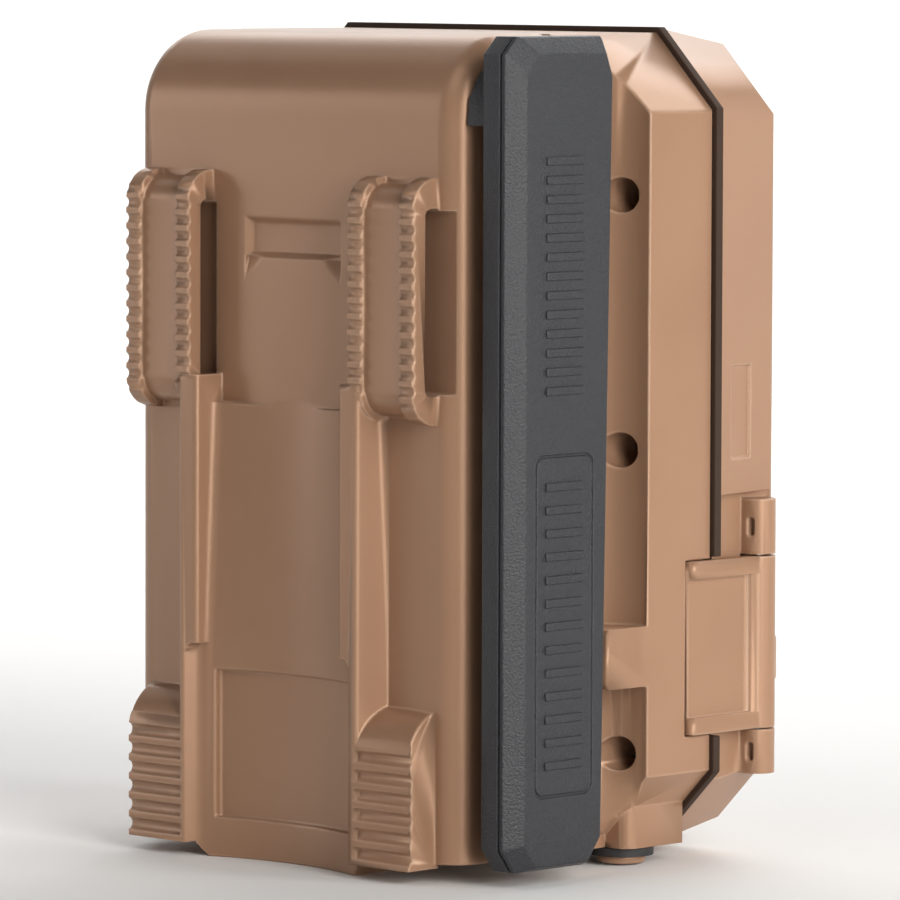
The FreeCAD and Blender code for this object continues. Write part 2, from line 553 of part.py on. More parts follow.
def door():
    shell = doorBlock(0, 0)
    shell = roundOff(shell, 1.8, lambda e: e.CenterOfMass.y < frontY + 0.01)
    shell = shell.cut(doorBlock(2.2, 2.2, 1.0))
    # front openings and the bed of the bezel
    shell = shell.cut(prismY(bezelOutline(-0.1), frontY - 3, frontY + 1.0))
    shell = shell.cut(roundedBar(-irHalf + 2, irHalf - 2, frontY - 1, frontY + 6, irLow + 2, irHigh - 2, 2.0))
    shell = shell.cut(rod(alongY, 0, frontY - 1, lensZ, lensR - 1.2, 6))
    shell = shell.cut(roundedBar(-pirHalf + 1.5, pirHalf - 1.5, frontY - 1, frontY + 6, pirLow + 1.5,
                                 pirHigh - 1.5, 2.0))
    for x in (-smallX, smallX):
        shell = shell.cut(rod(alongY, x, frontY - 1, smallZ, smallR - 0.6, 6))
    # shallow panel on each side and the latch pocket on -X
    lean = doorTaper / (doorSeamY - frontY)
    for s in (-1, 1):
        sink = box(-60, 60, doorSeamY - 9.3, doorSeamY - 3.4, 69.6, 85.5)
        rim = doorBlock(0.45, -1, 1.0)
        shell = shell.cut(sink.cut(rim).common(box(0, 60, -60, 60, 0, 150) if s > 0 else
                                               box(-60, 0, -60, 60, 0, 150)))
    pocket = box(-60, -48.2, latchY - 4.0, doorSeamY + 1, pivotPocketLow, pivotPocketHigh)
    lining = box(-49.5, -44.6, latchY - 4.4, doorSeamY - 1.2, pivotPocketLow - 1.8, pivotPocketHigh + 1.8)
    lining = lining.common(doorBlock(1.0, 1.0))
    shell = join(shell, lining).cut(pocket)
    for z0, z1 in latchBarrels:
        barrel = join(rod(alongZ, latchX, latchY, z0, latchR, z1 - z0),
                      box(latchX, -46, latchY - latchR, latchY + latchR, z0, z1))
        middle = (z0 + z1) / 2
        core = roundedBar(latchX - 1.5, latchX - 0.3, latchY + 1.4, latchY + 5, middle - 1.6, middle + 1.6,
                          0.55, alongY)
        shell = join(shell, barrel.cut(core))
    arm = rod(alongZ, latchX, latchY, latchLow - 0.3, latchR + 0.35, latchHigh - latchLow + 0.6)
    shell = shell.cut(arm).cut(rod(alongZ, latchX, latchY, 30.3, 4.4, 8.8))
    shell = shell.cut(rod(alongZ, latchX, latchY, latchPinLow, latchPinR, latchPinHigh - latchPinLow))
    # hinge side
    for z0, z1 in doorKnuckles:
        barrel = join(rod(alongZ, hingeX, hingeY, z0, hingeR, z1 - z0),
                      prismZ([(hingeX - hingeR, hingeY), (sideReach, hingeY), (doorHalf - 1.4, doorSeamY - 7),
                              (hingeX - hingeR, doorSeamY - 7)], z0, z1))
        shell = join(shell, barrel)
    for z0, z1 in housingKnuckles:
        shell = shell.cut(rod(alongZ, hingeX, hingeY, z0 - 0.3, hingeR + 0.35, z1 - z0 + 0.6))
    for z0, z1 in hingePins:
        shell = shell.cut(rod(alongZ, hingeX, hingeY, z0 - 1, hingePinR + runFit, z1 - z0 + 2))
    for x, z in coverScrewSpots:
        post = rod(alongY, x, frontY + 2.0, z, 3.0, coverY - frontY - 2.02)
        shell = join(shell, post).cut(rod(alongY, x, frontY + 5.0, z, 1.25, 20))
    parts['door_shell'] = shell


coverScrewSpots = [(s * 40.5, z) for s in (-1, 1) for z in (28.0, 118.0)] + [(-40.5, 76.0), (40.5, 76.0)]
latchBarrels = [(pivotPocketLow + 0.2, latchLow - 0.3), (latchHigh + 0.3, pivotPocketHigh - 1.2)]
latchPinR = 0.9
latchPinLow, latchPinHigh = pivotPocketLow + 1.5, pivotPocketHigh - 2.2


def bezelOutline(grow):
    return octagon(-grow, half=37.5, low=23.0, top=133.0, corner=13.0)


def front():
    bezel = prismY(bezelOutline(-0.35), frontY - bezelProud, frontY + 0.9)
    bezel = roundOff(bezel, 1.2, lambda e: e.CenterOfMass.y < frontY - bezelProud + 0.01)
    bezel = bezel.cut(roundedBar(-irHalf, irHalf, frontY - 5, frontY + 5, irLow, irHigh, 3.0))
    bezel = bezel.cut(rod(alongY, 0, frontY - 5, lensZ, lensR + 0.1, 10))
    bezel = bezel.cut(roundedBar(-pirHalf, pirHalf, frontY - 5, frontY + 5, pirLow, pirHigh, 3.0))
    for x in (-smallX, smallX):
        bezel = bezel.cut(rod(alongY, x, frontY - 5, smallZ, smallR, 10))
    for i in range(-2, 3):
        bezel = bezel.cut(rod(alongY, i * 2.4, frontY - 5, 64.0, 0.6, 10))
    parts['front_bezel'] = bezel
    parts['ir_window'] = roundedBar(-irHalf + 0.1, irHalf - 0.1, frontY - 1.5, frontY + 0.9,
                                    irLow + 0.1, irHigh - 0.1, 2.9)
    ring = rod(alongY, 0, frontY - bezelProud, lensZ, lensR, bezelProud + 0.9)
    cone = Part.makeCone(8.6, 7.2, 2.2, V(0, frontY - bezelProud - 0.01, lensZ), alongY)
    parts['lens_ring'] = ring.cut(cone).cut(rod(alongY, 0, frontY - 3, lensZ, 6.6, 10)).cut(
        rod(alongY, 0, frontY - 0.8, lensZ, 8.2, 6))
    parts['lens_window'] = rod(alongY, 0, frontY - 0.75, lensZ, 8.15, 1.5)
    barrel = join(rod(alongY, 0, frontY + 1.2, lensZ, 6.2, 6.0), rod(alongY, 0, frontY + 6.6, lensZ, 7.4, 3.0))
    parts['lens_barrel'] = barrel.cut(rod(alongY, 0, frontY, lensZ, 4.3, 20))
    glass = rod(alongY, 0, frontY + 2.2, lensZ, 4.25, 2.4)
    bulge = Part.makeSphere(9.0, V(0, frontY + 10.2, lensZ))
    parts['lens_glass'] = glass.common(bulge)
    pir = roundedBar(-pirHalf + 0.1, pirHalf - 0.1, frontY - 0.6, frontY + 0.9, pirLow + 0.1, pirHigh - 0.1, 2.9)
    dome = rod(alongZ, 0, frontY - bezelProud + 40, pirLow + 1.0, 40, pirHigh - pirLow - 2)
    dome = dome.common(roundedBar(-pirHalf + 1, pirHalf - 1, frontY - 3, frontY + 0.1, pirLow + 1, pirHigh - 1, 2.4))
    parts['pir_lens'] = join(pir, dome)
    parts['status_light'] = rod(alongY, -smallX, frontY - 1.8, smallZ, smallR - 0.05, 2.6)
    parts['light_sensor_window'] = rod(alongY, smallX, frontY - 1.8, smallZ, smallR - 0.05, 2.6)


boardY = frontY + 9.8


def doorInside():
    led = roundedBar(-irHalf + 1.4, irHalf - 1.4, frontY + 3.4, frontY + 4.6, irLow + 1.0, irHigh - 1.0, 1.0)
    parts['ir_led_board'] = led
    leds = []
    for i in range(9):
        for j in range(4):
            x, z = (i - 4) * 5.4, (irLow + irHigh) / 2 + (j - 1.5) * 5.2
            dome = Part.makeSphere(1.5, V(x, frontY + 2.4, z)).common(box(x - 2, x + 2, frontY, frontY + 2.4, z - 2, z + 2))
            leds.append(join(rod(alongY, x, frontY + 2.4, z, 1.5, 0.99), dome))
    parts['ir_leds'] = group(leds)
    board = box(-38.6, 38.6, boardY, boardY + 1.4, 12, 132)
    for x, z in coverScrewSpots:
        board = board.cut(rod(alongY, x, boardY - 1, z, 3.4, 5))
    parts['main_board'] = board
    parts['image_sensor'] = box(-2.9, 2.9, boardY - 0.9, boardY - 0.01, lensZ - 2.9, lensZ + 2.9)
    can = join(rod(alongY, 0, boardY - 3.6, 43.0, 4.5, 3.0), rod(alongY, 0, boardY - 0.8, 43.0, 4.9, 0.78))
    parts['pir_sensor'] = can
    cone = Part.makeCone(13.0, 6.4, 5.4, V(0, frontY + 2.4, 43.0), alongY)
    hollow = Part.makeCone(12.2, 5.6, 5.5, V(0, frontY + 2.35, 43.0), alongY)
    parts['pir_cone'] = cone.cut(hollow).common(box(-12.2, 12.2, -60, 60, 31, 55))
    parts['microphone'] = rod(alongY, 0, frontY + 2.6, 64.0, 3.0, 2.4)
    parts['speaker_gasket'] = rod(alongY, 0, frontY + 2.25, 64.0, 4.0, 0.32).cut(rod(alongY, 0, frontY, 64.0, 2.2, 6))
    parts['sd_socket'] = box(16, 33, boardY + 1.42, boardY + 3.6, 16, 34).cut(
        box(18, 31, boardY + 1.8, boardY + 3.2, 10, 33))
    parts['sd_card'] = box(18.2, 30.8, boardY + 1.95, boardY + 3.05, 13.2, 32.8)
    parts['display'] = roundOff(box(-22, 22, boardY + 1.42, boardY + 3.6, 76, 112), 0.6,
                                lambda e: runsAlong(e, alongY))
    cover = doorBlock(2.5, 0).common(box(-60, 60, coverY, coverY + 1.8, 0, 150))
    cover = cover.cut(roundedBar(-20, 20, coverY - 1, coverY + 3, 79, 109, 1.5))
    cover = cover.cut(box(16.5, 32.5, coverY - 1, coverY + 3, 0, 30))
    cover = cover.cut(box(-60, -43.9, coverY - 1, coverY + 3, pivotPocketLow - 2.2, pivotPocketHigh + 2.2))
    cover = cover.cut(group([box(47.4, 60, coverY - 1, coverY + 3, z0 - 1, z1 + 1) for z0, z1 in hingePins]))
    for name, x, z, r in buttonSpots:
        cover = cover.cut(rod(alongY, x, coverY - 1, z, r + 0.2, 4))
        flange = rod(alongY, x, coverY - 1.1, z, r + 0.9, 1.0)
        stem = rod(alongY, x, coverY - 1.0, z, r, 3.3)
        parts[name] = roundOff(join(flange, stem), 0.3, lambda e: e.CenterOfMass.y > coverY + 2.2)
    for x, z in coverScrewSpots:
        cover = cover.cut(rod(alongY, x, coverY - 1, z, 1.7, 4))
    parts['door_inner_cover'] = cover
    parts['display_window'] = roundedBar(-19.9, 19.9, coverY + 0.3, coverY + 1.5, 79.1, 108.9, 1.4)
    parts['cover_screws'] = group([screw(x, coverY + 1.82, z, 2.4, 1.0, 1.2, 6.0) for x, z in coverScrewSpots])


coverY = doorSeamY - 2.7
buttonSpots = [('power_button', -26.0, 62.0, 4.2), ('menu_button', 0.0, 62.0, 4.2), ('ok_button', 26.0, 62.0, 4.2)]


# ---- latch on the -X side --------------------------------------------------------------------
def latch():
    plateX0, plateX1 = -50.6, -49.25
    rear = seamY + 5.8
    plate = box(plateX0, plateX1, latchY, rear, latchLow, latchHigh)
    arms = []
    for z0, z1 in ((latchLow, latchLow + 2.9), (latchHigh - 2.9, latchHigh)):
        arm = box(-51.7, plateX1, latchY, rear, z0, z1)
        arms.append(roundOff(arm, 1.1, lambda e: runsAlong(e, alongZ) and e.CenterOfMass.y > rear - 0.1
                             and e.CenterOfMass.x < -51))
    bar = rod(alongZ, latchX, latchY, latchLow, latchR, latchHigh - latchLow)
    spine = rod(alongZ, -50.1, latchY + 2.5, latchLow + 0.5, 1.35, latchHigh - latchLow - 1)
    tab = roundedBar(-51.3, latchX, latchY - latchR + 0.25, latchY, 30.7, 38.7, 0.8, alongX)
    body = join(plate, bar, spine, tab, *arms)
    groove = rod(alongZ, plateX0 - 0.1, latchY + 4.4, latchLow + 3.0, 0.4, latchHigh - latchLow - 6.0)
    body = body.cut(groove)
    parts['latch_plate'] = body.cut(rod(alongZ, latchX, latchY, 0, latchPinR + runFit, 90))
    parts['latch_pin'] = rod(alongZ, latchX, latchY, latchPinLow, latchPinR, latchPinHigh - latchPinLow)


# ---- build and write ---------------------------------------------------------------------------
parts['rear_housing'] = housing()
parts['seal_gasket'] = gasket()
parts['door_hinge_pins'] = group([rod(alongZ, hingeX, hingeY, z0, hingePinR, z1 - z0) for z0, z1 in hingePins])
antenna()
antennaKnuckle()
powerJack()
battery()
innerFrame()
housingScrews()
tripodInsert()
modem()
door()
front()
doorInside()
latch()

os.makedirs('parts', exist_ok=True)
for name, shape in parts.items():
    bounds = shape.BoundBox
    print(f'{name:22s} solids {len(shape.Solids):3d} valid {shape.isValid()} volume {shape.Volume / 1000:8.2f} cm3 '
          f'X {bounds.XMin:6.1f}..{bounds.XMax:6.1f} Y {bounds.YMin:6.1f}..{bounds.YMax:6.1f} '
          f'Z {bounds.ZMin:6.1f}..{bounds.ZMax:6.1f}')
    shape.exportStep(f'parts/{name}.step')
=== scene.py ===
import bpy
import bmesh
import json
import math
from mathutils import Matrix, Vector
from mathutils.bvhtree import BVHTree
from mathutils.kdtree import KDTree

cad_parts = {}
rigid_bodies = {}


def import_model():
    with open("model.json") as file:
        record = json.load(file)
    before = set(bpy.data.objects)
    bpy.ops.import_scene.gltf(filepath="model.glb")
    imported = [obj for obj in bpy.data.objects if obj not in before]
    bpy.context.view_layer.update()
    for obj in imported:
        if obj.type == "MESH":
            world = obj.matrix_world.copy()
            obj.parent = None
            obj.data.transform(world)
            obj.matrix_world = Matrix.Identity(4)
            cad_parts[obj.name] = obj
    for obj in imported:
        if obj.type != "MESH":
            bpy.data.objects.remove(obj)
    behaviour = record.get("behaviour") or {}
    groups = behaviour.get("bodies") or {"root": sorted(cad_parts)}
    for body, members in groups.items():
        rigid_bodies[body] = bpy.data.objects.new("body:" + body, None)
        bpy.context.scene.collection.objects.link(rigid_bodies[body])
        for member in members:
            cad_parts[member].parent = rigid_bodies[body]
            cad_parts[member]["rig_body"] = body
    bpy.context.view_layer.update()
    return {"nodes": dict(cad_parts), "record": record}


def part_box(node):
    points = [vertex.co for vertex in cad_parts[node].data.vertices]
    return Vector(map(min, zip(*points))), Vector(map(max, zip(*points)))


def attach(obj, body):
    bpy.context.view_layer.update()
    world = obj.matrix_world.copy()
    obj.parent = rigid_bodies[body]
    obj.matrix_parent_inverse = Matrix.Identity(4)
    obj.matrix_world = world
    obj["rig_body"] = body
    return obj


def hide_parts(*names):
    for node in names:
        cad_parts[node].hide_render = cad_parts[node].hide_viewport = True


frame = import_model()
nodes = frame["nodes"]
print("frame loaded:", len(nodes), "nodes")

mm = 0.001


# where the camera stands and looks, in metres and degrees
viewFrom = {
    "target": (-0.00396, -0.00183, 0.0697),
    "distance": 1.2013,
    "azimuth": 134.22,      # degrees round from +X
    "elevation": 4.32,
    "roll": 0.166,
    "lens": 276.1,
    "sensor": 36,
    "clipStart": 0.01,
}


def direction(azimuth, elevation):
    turn, lift = math.radians(azimuth), math.radians(elevation)
    flat = math.cos(lift)
    return Vector((flat * math.cos(turn), flat * math.sin(turn), math.sin(lift)))


def aimed(spot, target):
    # stands at the spot and looks at the target
    look = (target - spot).to_track_quat("-Z", "Y").to_matrix().to_4x4()
    return Matrix.Translation(spot) @ look


def linkedObject(name, data):
    piece = bpy.data.objects.new(name, data)
    bpy.context.scene.collection.objects.link(piece)
    return piece


def makeCamera(look):
    target = Vector(look["target"])
    outward = direction(look["azimuth"], look["elevation"])
    data = bpy.data.cameras.new("camera")
    data.lens = look["lens"]
    data.sensor_width = look["sensor"]
    data.clip_start = look["clipStart"]
    camera = linkedObject("camera", data)
    roll = Matrix.Rotation(math.radians(look["roll"]), 4, "Z")
    camera.matrix_world = aimed(target + outward * look["distance"], target) @ roll
    bpy.context.scene.camera = camera


makeCamera(viewFrom)
print("camera placed")


def newGroup(name, inputs, outputs):
    # a shader group with named sockets
    tree = bpy.data.node_groups.new(name, "ShaderNodeTree")
    for label, kind, value in inputs:
        socket = tree.interface.new_socket(label, in_out="INPUT", socket_type=kind)
        if value is not None:
            socket.default_value = value
    for label, kind in outputs:
        tree.interface.new_socket(label, in_out="OUTPUT", socket_type=kind)
    return tree, tree.nodes.new("NodeGroupInput"), tree.nodes.new("NodeGroupOutput")


def add(tree, kind, values=None, **settings):
    # adds a node, with its settings and its sockets' plain values
    node = tree.nodes.new(kind)
    for key, value in settings.items():
        setattr(node, key, value)
    for key, value in (values or {}).items():
        node.inputs[key].default_value = value
    return node


def math2(tree, operation, first, second, clamp=False):
    node = add(tree, "ShaderNodeMath", operation=operation, use_clamp=clamp)
    for socket, value in zip(node.inputs, (first, second)):
        if isinstance(value, (int, float)):
            socket.default_value = value
        else:
            tree.links.new(value, socket)
    return node.outputs[0]


def mixColour(tree, factor, first, second, blend="MIX"):
    node = add(tree, "ShaderNodeMix", data_type="RGBA", blend_type=blend)
    for index, value in ((0, factor), (6, first), (7, second)):
        if isinstance(value, (int, float, tuple)):
            node.inputs[index].default_value = value
        else:
            tree.links.new(value, node.inputs[index])
    return node.outputs[2]


# grain: fine moulded texture and slow unevenness, as heights and masks
grainLook = {"fine": {"Detail": 3.0, "Roughness": 0.6}, "wide": {"Detail": 2.0, "Roughness": 0.5}}


def grainGroup(look):
    tree, inputs, outputs = newGroup("mouldGrain", [
        ("Grain Scale", "NodeSocketFloat", 2500.0), ("Blotch Scale", "NodeSocketFloat", 60.0)],
        [("Height", "NodeSocketFloat"), ("Blotch", "NodeSocketFloat")])
    spot = add(tree, "ShaderNodeTexCoord")
    fine = add(tree, "ShaderNodeTexNoise", look["fine"])
    wide = add(tree, "ShaderNodeTexNoise", look["wide"])
    tree.links.new(spot.outputs["Object"], fine.inputs["Vector"])
    tree.links.new(spot.outputs["Object"], wide.inputs["Vector"])
    tree.links.new(inputs.outputs["Grain Scale"], fine.inputs["Scale"])
    tree.links.new(inputs.outputs["Blotch Scale"], wide.inputs["Scale"])
    tree.links.new(fine.outputs["Fac"], outputs.inputs["Height"])
    tree.links.new(wide.outputs["Fac"], outputs.inputs["Blotch"])
    return tree


# softened edges: a rounded normal and a mask that is 1 on sharp edges
edgeLook = {"samples": 4, "contrast": 10.0}


def edgeGroup(look):
    tree, inputs, outputs = newGroup("softEdges", [("Radius", "NodeSocketFloat", 0.3 * mm)],
                                     [("Normal", "NodeSocketVector"), ("Edge", "NodeSocketFloat")])
    softened = add(tree, "ShaderNodeBevel", samples=look["samples"])
    tree.links.new(inputs.outputs["Radius"], softened.inputs["Radius"])
    flat = add(tree, "ShaderNodeNewGeometry")
    dot = add(tree, "ShaderNodeVectorMath", operation="DOT_PRODUCT")
    tree.links.new(softened.outputs["Normal"], dot.inputs[0])
    tree.links.new(flat.outputs["Normal"], dot.inputs[1])
    apart = math2(tree, "SUBTRACT", 1.0, dot.outputs["Value"])
    edge = math2(tree, "MULTIPLY", apart, look["contrast"], clamp=True)
    tree.links.new(softened.outputs["Normal"], outputs.inputs["Normal"])
    tree.links.new(edge, outputs.inputs["Edge"])
    return tree


# dust: settles where faces look up, in patches
dustLook = {"detail": 6.0, "roughness": 0.7, "patchFrom": 0.42, "contrast": 3.0}


def dustGroup(look):
    tree, inputs, outputs = newGroup("dust", [
        ("Amount", "NodeSocketFloat", 0.1), ("Scale", "NodeSocketFloat", 120.0)],
        [("Dust", "NodeSocketFloat")])
    spot = add(tree, "ShaderNodeTexCoord")
    flat = add(tree, "ShaderNodeNewGeometry")
    split = add(tree, "ShaderNodeSeparateXYZ")
    patch = add(tree, "ShaderNodeTexNoise", {"Detail": look["detail"],
                                             "Roughness": look["roughness"]})
    tree.links.new(spot.outputs["Object"], patch.inputs["Vector"])
    tree.links.new(inputs.outputs["Scale"], patch.inputs["Scale"])
    tree.links.new(flat.outputs["Normal"], split.inputs[0])
    up = math2(tree, "ADD", math2(tree, "MULTIPLY", split.outputs["Z"], 0.5), 0.5)
    above = math2(tree, "SUBTRACT", patch.outputs["Fac"], look["patchFrom"])
    patches = math2(tree, "MULTIPLY", above, look["contrast"], clamp=True)
    settled = math2(tree, "MULTIPLY", up, patches)
    amount = math2(tree, "MULTIPLY", settled, inputs.outputs["Amount"], clamp=True)
    tree.links.new(amount, outputs.inputs["Dust"])
    return tree


mouldGrain, softEdges, dust = grainGroup(grainLook), edgeGroup(edgeLook), dustGroup(dustLook)
print("shader groups made")


def place(tree, group, values):
    # adds a group, with its sockets' values
    node = add(tree, "ShaderNodeGroup", node_tree=group)
    for key, value in values.items():
        node.inputs[key].default_value = value
    return node


def shade(*colour):
    # a linear colour from 0-255 display values, by the standard display curve
    def linear(c):
        c /= 255
        return c / 12.92 if c <= 0.04045 else ((c + 0.055) / 1.055) ** 2.4
    return tuple(linear(c) for c in colour) + (1.0,)


def moulded(name, look):
    # moulded plastic, rubber or metal: blotched colour, paler edges (wear, and a painted highlight
    # along the edges), dust, fine grain
    material = bpy.data.materials.new(name)
    material.use_nodes = True
    tree = material.node_tree
    shader = tree.nodes["Principled BSDF"]
    grain = place(tree, mouldGrain, {"Grain Scale": look["grainScale"],
                                     "Blotch Scale": look["blotchScale"]})
    edges = place(tree, softEdges, {"Radius": look["edgeRadius"]})
    settled = place(tree, dust, {"Amount": look["dust"]})
    colour = mixColour(tree, grain.outputs["Blotch"], look["colour"], look["colourB"])
    # the edge mask paints paler edges: light wear, and where its weight is high, as on the brown
    # shell, a painted highlight
    wearAndHighlight = math2(tree, "MULTIPLY", edges.outputs["Edge"], look["edgeWearAndHighlight"])
    colour = mixColour(tree, wearAndHighlight, colour, look["wearAndHighlightColour"])
    colour = mixColour(tree, settled.outputs["Dust"], colour, look["dustColour"])
    tree.links.new(colour, shader.inputs["Base Color"])
    rough = add(tree, "ShaderNodeMapRange", {"To Min": look["rough"] - look["roughSpread"],
                                             "To Max": look["rough"] + look["roughSpread"]})
    tree.links.new(grain.outputs["Blotch"], rough.inputs["Value"])
    tree.links.new(rough.outputs["Result"], shader.inputs["Roughness"])
    bump = add(tree, "ShaderNodeBump", {"Distance": look["grainDepth"],
                                        "Strength": look["grainStrength"]})
    tree.links.new(grain.outputs["Height"], bump.inputs["Height"])
    tree.links.new(edges.outputs["Normal"], bump.inputs["Normal"])
    tree.links.new(bump.outputs["Normal"], shader.inputs["Normal"])
    shader.inputs["Metallic"].default_value = look["metal"]
    shader.inputs["Specular IOR Level"].default_value = look["gloss"]
    shader.inputs["Specular Tint"].default_value = look["glossTint"]
    return material


# every moulded finish starts from these
plain = {"grainScale": 2600.0, "blotchScale": 45.0, "edgeRadius": 0.3 * mm, "dust": 0.05,
         "edgeWearAndHighlight": 0.12, "roughSpread": 0.04, "grainDepth": 0.02 * mm, "grainStrength": 0.5,
         "metal": 0.0, "gloss": 0.5, "glossTint": (1.0, 1.0, 1.0, 1.0),
         "dustColour": shade(200, 190, 178)}

finishes = {
    "brown_shell": {"colour": shade(153, 117, 92), "colourB": shade(163, 127, 101), "rough": 0.31,
                    "metal": 0.2, "wearAndHighlightColour": shade(226, 192, 166),
                    # strong pale edges: a painted highlight along the shell's edges, besides wear
                    "edgeRadius": 0.6 * mm, "edgeWearAndHighlight": 0.5,
                    "grainScale": 2200.0, "grainDepth": 0.03 * mm, "dust": 0.02,
                    "glossTint": (0.68, 0.6, 0.53, 1.0)},
    # the seal's dark brown also stands in for the shade of the seam between housing and door:
    # partly painted shade
    "seal_rubber": {"colour": shade(52, 37, 28), "colourB": shade(60, 44, 33), "rough": 0.7,
                    "dust": 0.0, "gloss": 0.25, "wearAndHighlightColour": shade(80, 62, 50)},
    "antenna_black": {"colour": shade(29, 30, 34), "colourB": shade(37, 38, 42), "rough": 0.4,
                      "wearAndHighlightColour": shade(104, 106, 112), "grainScale": 2300.0,
                      "grainDepth": 0.2 * mm, "grainStrength": 1.0, "dust": 0.0,
                      "edgeWearAndHighlight": 0.25},
    "front_black": {"colour": shade(34, 34, 37), "colourB": shade(39, 39, 42), "rough": 0.4,
                    "wearAndHighlightColour": shade(72, 72, 76)},
    "fresnel_white": {"colour": shade(176, 176, 170), "colourB": shade(186, 186, 180), "rough": 0.4,
                      "wearAndHighlightColour": shade(236, 236, 232)},
    "port_rubber": {"colour": shade(28, 28, 29), "colourB": shade(33, 33, 34), "rough": 0.62,
                    "wearAndHighlightColour": shade(58, 58, 60)},
    "steel": {"colour": shade(176, 176, 178), "colourB": shade(188, 187, 184), "rough": 0.32,
              "metal": 1.0, "wearAndHighlightColour": shade(214, 214, 214), "dust": 0.02},
    "copper": {"colour": shade(188, 120, 84), "colourB": shade(200, 132, 94), "rough": 0.3,
               "metal": 1.0, "wearAndHighlightColour": shade(220, 160, 120), "dust": 0.0},
    "contact_plate": {"colour": shade(198, 196, 188), "colourB": shade(208, 206, 198),
                      "rough": 0.25, "metal": 1.0, "wearAndHighlightColour": shade(224, 222, 216),
                      "dust": 0.0},
    "insert_brass": {"colour": shade(190, 152, 82), "colourB": shade(200, 164, 94), "rough": 0.3,
                     "metal": 1.0, "wearAndHighlightColour": shade(226, 196, 130), "dust": 0.02},
    "cell_can": {"colour": shade(158, 160, 164), "colourB": shade(168, 170, 174), "rough": 0.3,
                 "wearAndHighlightColour": shade(196, 198, 200), "dust": 0.0},
    "inner_plastic": {"colour": shade(40, 40, 42), "colourB": shade(46, 46, 48), "rough": 0.5,
                      "wearAndHighlightColour": shade(84, 84, 88)},
    "circuit_board": {"colour": shade(18, 74, 50), "colourB": shade(22, 84, 58), "rough": 0.34,
                      "wearAndHighlightColour": shade(120, 140, 96), "dust": 0.02},
    "display_glass": {"colour": shade(30, 33, 36), "colourB": shade(34, 38, 42), "rough": 0.12,
                      "wearAndHighlightColour": shade(60, 64, 68), "dust": 0.02},
    "led_epoxy": {"colour": shade(150, 148, 158), "colourB": shade(168, 166, 176), "rough": 0.12,
                  "wearAndHighlightColour": shade(200, 200, 206), "dust": 0.0},
    "button_rubber": {"colour": shade(58, 58, 61), "colourB": shade(64, 64, 67), "rough": 0.58,
                      "wearAndHighlightColour": shade(98, 98, 102)},
}

materials = {name: moulded(name, {**plain, **look}) for name, look in finishes.items()}


def clear(name, look):
    # see-through plastic and glass, with faint smears in its roughness and haze in its tint
    material = bpy.data.materials.new(name)
    material.use_nodes = True
    tree = material.node_tree
    shader = tree.nodes["Principled BSDF"]
    grain = place(tree, mouldGrain, {"Blotch Scale": look["smearScale"]})
    spread = add(tree, "ShaderNodeMapRange", {"To Min": look["rough"][0],
                                              "To Max": look["rough"][1]})
    tree.links.new(grain.outputs["Blotch"], spread.inputs["Value"])
    tree.links.new(spread.outputs["Result"], shader.inputs["Roughness"])
    tint = mixColour(tree, grain.outputs["Blotch"], look["colour"], look["colourB"])
    tree.links.new(tint, shader.inputs["Base Color"])
    shader.inputs["Alpha"].default_value = look["cover"]
    shader.inputs["IOR"].default_value = look["ior"]
    return material


glasses = {
    "smoked_window": {"colour": shade(34, 14, 15), "colourB": shade(44, 19, 19),
                      "rough": (0.03, 0.096), "smearScale": 70.0, "cover": 0.5, "ior": 1.49},
    "clear_glass": {"colour": shade(44, 48, 56), "colourB": shade(54, 59, 66),
                    "rough": (0.02, 0.064), "smearScale": 40.0, "cover": 0.22, "ior": 1.52},
}
for name, look in glasses.items():
    materials[name] = clear(name, look)

# printed sleeves of the cells: a slate band by the plus end, a dark line and a grey body
sleeve = {"pitch": 15.0 * mm, "long": 48.8 * mm, "rows": (16.3 * mm, 69.5 * mm), "gap": 1.5 * mm,
          "columns": 4, "bandFrom": 0.84, "line": 0.02, "band": shade(66, 92, 108),
          "lineColour": shade(70, 72, 76)}


def printSleeves(material, look):
    tree = material.node_tree
    shader = tree.nodes["Principled BSDF"]
    body = shader.inputs["Base Color"].links[0].from_socket
    spot = add(tree, "ShaderNodeTexCoord")
    split = add(tree, "ShaderNodeSeparateXYZ")
    tree.links.new(spot.outputs["Object"], split.inputs[0])
    across = math2(tree, "DIVIDE", split.outputs["X"], look["pitch"])
    column = math2(tree, "FLOOR", math2(tree, "ADD", across, look["columns"] / 2), 0.0)
    low, high = look["rows"]
    upper = math2(tree, "GREATER_THAN", split.outputs["Z"], high - look["gap"])
    flipped = math2(tree, "MODULO", math2(tree, "ADD", column, upper), 2.0)
    start = math2(tree, "ADD", math2(tree, "MULTIPLY", upper, high - low), low)
    along = math2(tree, "DIVIDE", math2(tree, "SUBTRACT", split.outputs["Z"], start), look["long"])
    # runs from 0 at the minus end to 1 at the plus end
    turned = math2(tree, "ABSOLUTE", math2(tree, "SUBTRACT", along, flipped), 0.0)
    band = math2(tree, "GREATER_THAN", turned, look["bandFrom"])
    lineFrom = math2(tree, "GREATER_THAN", turned, look["bandFrom"] - look["line"])
    line = math2(tree, "MULTIPLY", lineFrom, math2(tree, "LESS_THAN", turned, look["bandFrom"]))
    colour = mixColour(tree, band, body, look["band"])
    colour = mixColour(tree, line, colour, look["lineColour"])
    tree.links.new(colour, shader.inputs["Base Color"])


printSleeves(materials["cell_can"], sleeve)

for row in frame["record"]["subparts"]:
    node = nodes[row["node"]]
    node.data.materials.clear()
    node.data.materials.append(materials[row["material_slot"]])
print("materials:", len(materials))

